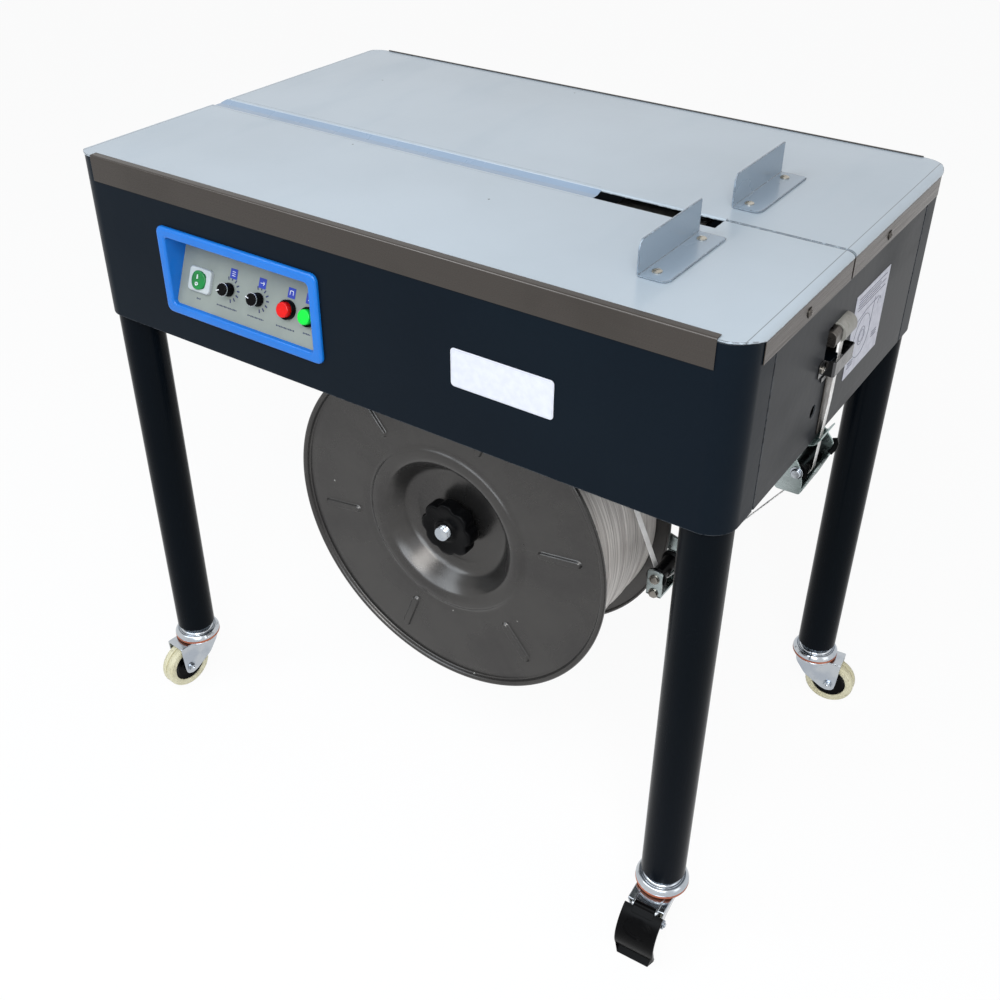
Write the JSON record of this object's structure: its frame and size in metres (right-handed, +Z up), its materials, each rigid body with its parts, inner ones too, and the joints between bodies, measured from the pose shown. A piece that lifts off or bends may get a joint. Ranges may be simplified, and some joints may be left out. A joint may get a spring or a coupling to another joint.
{
  "type": "semi-automatic strapping machine",
  "caption": "Waist-high steel table on braked and free swivel casters, with a split top, a strap window, a front control panel and a strap reel hung beneath.",
  "frame": {"origin": "on the floor, under the middle of the bounding box", "axes": "+X towards the end where the strap goes in, -Y towards the operator and the control panel, +Z up"},
  "size_m": [0.9364, 0.6742, 0.9063],
  "materials": {
    "pale_paint": "gloss pale blue-grey powder coat",
    "dark_paint": "satin anthracite blue powder coat",
    "stainless": "brushed along its length",
    "zinc": "bright zinc plate",
    "steel": "ground",
    "reel_steel": "grey metallic paint",
    "cream_tyre": "moulded nylon tread",
    "black_plastic": "moulded",
    "black_rubber": "matt",
    "blue_plastic": "satin moulded",
    "grey_plate": "satin printed plate",
    "green_plastic": "translucent lens",
    "red_plastic": "gloss",
    "strap_white": "embossed polypropylene strap"
  },
  "bodies": {
    "frame": {"table_plate_front": "pale_paint", "table_plate_rear": "pale_paint", "package_stop_front": "pale_paint", "package_stop_rear": "pale_paint", "front_panel": "dark_paint", "rear_panel": "dark_paint", "side_panel_left": "dark_paint", "side_panel_right": "dark_paint", "deck_frame": "dark_paint", "drive_motor": "dark_paint", "leg_front_left": "dark_paint", "leg_front_right": "dark_paint", "leg_rear_left": "dark_paint", "leg_rear_right": "dark_paint", "trim_front": "stainless", "trim_rear": "stainless", "trim_right_front": "stainless", "trim_right_rear": "stainless", "reel_hanger": "zinc", "side_roller_bracket": "zinc", "strap_clamp": "zinc", "strap_entry_block": "zinc", "caster_head_front_left": "zinc", "caster_head_front_right": "zinc", "caster_head_rear_left": "zinc", "caster_head_rear_right": "zinc", "head_frame": "black_plastic", "drive_belt": "black_rubber", "control_bezel": "blue_plastic", "control_plate": "grey_plate", "control_box": "grey_plate", "strap_run": "strap_white"},
    "fork_front_left": {"caster_fork_front_left": "zinc"},
    "wheel_front_left": {"caster_wheel_front_left": "cream_tyre"},
    "fork_front_right": {"caster_fork_front_right": "zinc"},
    "wheel_front_right": {"caster_wheel_front_right": "cream_tyre"},
    "pedal_front_right": {"brake_pedal_front_right": "black_plastic"},
    "fork_rear_left": {"caster_fork_rear_left": "zinc"},
    "wheel_rear_left": {"caster_wheel_rear_left": "cream_tyre"},
    "pedal_rear_left": {"brake_pedal_rear_left": "black_plastic"},
    "fork_rear_right": {"caster_fork_rear_right": "zinc"},
    "wheel_rear_right": {"caster_wheel_rear_right": "cream_tyre"},
    "rocker": {"rocker_switch": "green_plastic"},
    "seal_knob": {"knob_seal_time": "black_plastic"},
    "length_knob": {"knob_strap_length": "black_plastic"},
    "stop_key": {"button_stop": "red_plastic"},
    "feed_key": {"button_feed": "green_plastic"},
    "reel": {"reel_drum": "reel_steel", "reel_front_flange": "reel_steel", "strap_coil": "strap_white"},
    "star_knob": {"reel_star_knob": "black_plastic"},
    "dancer": {"dancer_arm": "zinc"},
    "dancer_wheel": {"dancer_roller": "black_plastic"},
    "guide_wheel": {"side_roller": "black_plastic"},
    "cam_assembly": {"camshaft": "steel"},
    "motor_rotor": {"motor_pulley": "steel"},
    "feed_wheel": {"feed_roller": "black_plastic"},
    "anvil": {"anvil_slide": "stainless"},
    "gripper": {"gripper_block": "steel"},
    "heater": {"heater_blade": "steel"}
  },
  "joints": [
    {"name": "swivel_front_left", "type": "hinge", "parent": "frame", "child": "fork_front_left", "pos_m": [-0.43367, -0.25787, 0.08], "axis": [0, 0, 1], "continuous": true},
    {"name": "wheel_spin_front_left", "type": "hinge", "parent": "fork_front_left", "child": "wheel_front_left", "pos_m": [-0.43702, -0.28969, 0.0375], "axis": [0.9945, -0.1045, 0], "continuous": true},
    {"name": "swivel_front_right", "type": "hinge", "parent": "frame", "child": "fork_front_right", "pos_m": [0.39832, -0.25787, 0.08], "axis": [0, 0, 1], "continuous": true},
    {"name": "wheel_spin_front_right", "type": "hinge", "parent": "fork_front_right", "child": "wheel_front_right", "pos_m": [0.4, -0.28982, 0.0375], "axis": [0.9986, 0.0523, 0], "continuous": true},
    {"name": "brake_front_right", "type": "hinge", "parent": "fork_front_right", "child": "pedal_front_right", "pos_m": [0.40089, -0.3068, 0.078], "axis": [-0.9986, -0.0523, 0], "range_deg": [0, 20]},
    {"name": "swivel_rear_left", "type": "hinge", "parent": "frame", "child": "fork_rear_left", "pos_m": [-0.43367, 0.25713, 0.08], "axis": [0, 0, 1], "continuous": true},
    {"name": "wheel_spin_rear_left", "type": "hinge", "parent": "fork_rear_left", "child": "wheel_rear_left", "pos_m": [-0.43646, 0.28901, 0.0375], "axis": [-0.9962, -0.0872, 0], "continuous": true},
    {"name": "brake_rear_left", "type": "hinge", "parent": "fork_rear_left", "child": "pedal_rear_left", "pos_m": [-0.43795, 0.30595, 0.078], "axis": [0.9962, 0.0872, 0], "range_deg": [0, 20]},
    {"name": "swivel_rear_right", "type": "hinge", "parent": "frame", "child": "fork_rear_right", "pos_m": [0.39832, 0.25713, 0.08], "axis": [0, 0, 1], "continuous": true},
    {"name": "wheel_spin_rear_right", "type": "hinge", "parent": "fork_rear_right", "child": "wheel_rear_right", "pos_m": [0.43015, 0.26048, 0.0375], "axis": [-0.1045, 0.9945, 0], "continuous": true},
    {"name": "rocker_tilt", "type": "hinge", "parent": "frame", "child": "rocker", "pos_m": [-0.28368, -0.28005, 0.74006], "axis": [1, 0, 0], "range_deg": [-7, 7]},
    {"name": "seal_knob_turn", "type": "hinge", "parent": "frame", "child": "seal_knob", "pos_m": [-0.23667, -0.27588, 0.73838], "axis": [0, -0.9272, 0.3746], "range_deg": [-140, 140]},
    {"name": "length_knob_turn", "type": "hinge", "parent": "frame", "child": "length_knob", "pos_m": [-0.18918, -0.27588, 0.73838], "axis": [0, -0.9272, 0.3746], "range_deg": [-140, 140]},
    {"name": "stop_key_press", "type": "slide", "parent": "frame", "child": "stop_key", "axis": [0, 0.9272, -0.3746], "range_m": [0, 0.003], "stiffness_N_per_m": 300},
    {"name": "feed_key_press", "type": "slide", "parent": "frame", "child": "feed_key", "axis": [0, 0.9272, -0.3746], "range_m": [0, 0.003], "stiffness_N_per_m": 300},
    {"name": "reel_spin", "type": "hinge", "parent": "frame", "child": "reel", "pos_m": [0.04482, -0.00037, 0.468], "axis": [0, 1, 0], "continuous": true},
    {"name": "star_knob_turn", "type": "hinge", "parent": "reel", "child": "star_knob", "pos_m": [0.04482, -0.00037, 0.468], "axis": [0, 1, 0], "continuous": true},
    {"name": "dancer_lift", "type": "hinge", "parent": "frame", "child": "dancer", "pos_m": [0.13232, -0.00037, 0.48], "axis": [0, -1, 0], "range_deg": [0, 20], "deforming": ["strap_run"]},
    {"name": "dancer_roller_spin", "type": "hinge", "parent": "dancer", "child": "dancer_wheel", "pos_m": [0.29783, -0.00037, 0.453], "axis": [0, 1, 0], "continuous": true},
    {"name": "side_roller_spin", "type": "hinge", "parent": "frame", "child": "guide_wheel", "pos_m": [0.42202, -0.00037, 0.612], "axis": [0, 1, 0], "continuous": true},
    {"name": "camshaft_turn", "type": "hinge", "parent": "frame", "child": "cam_assembly", "pos_m": [0.20733, -0.00037, 0.797], "axis": [0, 1, 0], "continuous": true},
    {"name": "motor_turn", "type": "hinge", "parent": "frame", "child": "motor_rotor", "pos_m": [0.00232, -0.00037, 0.7923], "axis": [0, 1, 0], "continuous": true},
    {"name": "feed_roller_turn", "type": "hinge", "parent": "frame", "child": "feed_wheel", "pos_m": [0.28832, -0.00037, 0.8], "axis": [0, 1, 0], "continuous": true},
    {"name": "anvil_retract", "type": "slide", "parent": "frame", "child": "anvil", "axis": [0, 1, 0], "range_m": [0, 0.012], "stiffness_N_per_m": 200},
    {"name": "gripper_lift", "type": "slide", "parent": "frame", "child": "gripper", "axis": [0, 0, 1], "range_m": [0, 0.004]},
    {"name": "heater_reach", "type": "slide", "parent": "frame", "child": "heater", "axis": [0, -1, 0], "range_m": [0, 0.025], "stiffness_N_per_m": 200}
  ],
  "couplings": [
    {"joint": "motor_turn", "follows": "camshaft_turn", "ratio": 2.5}
  ]
}
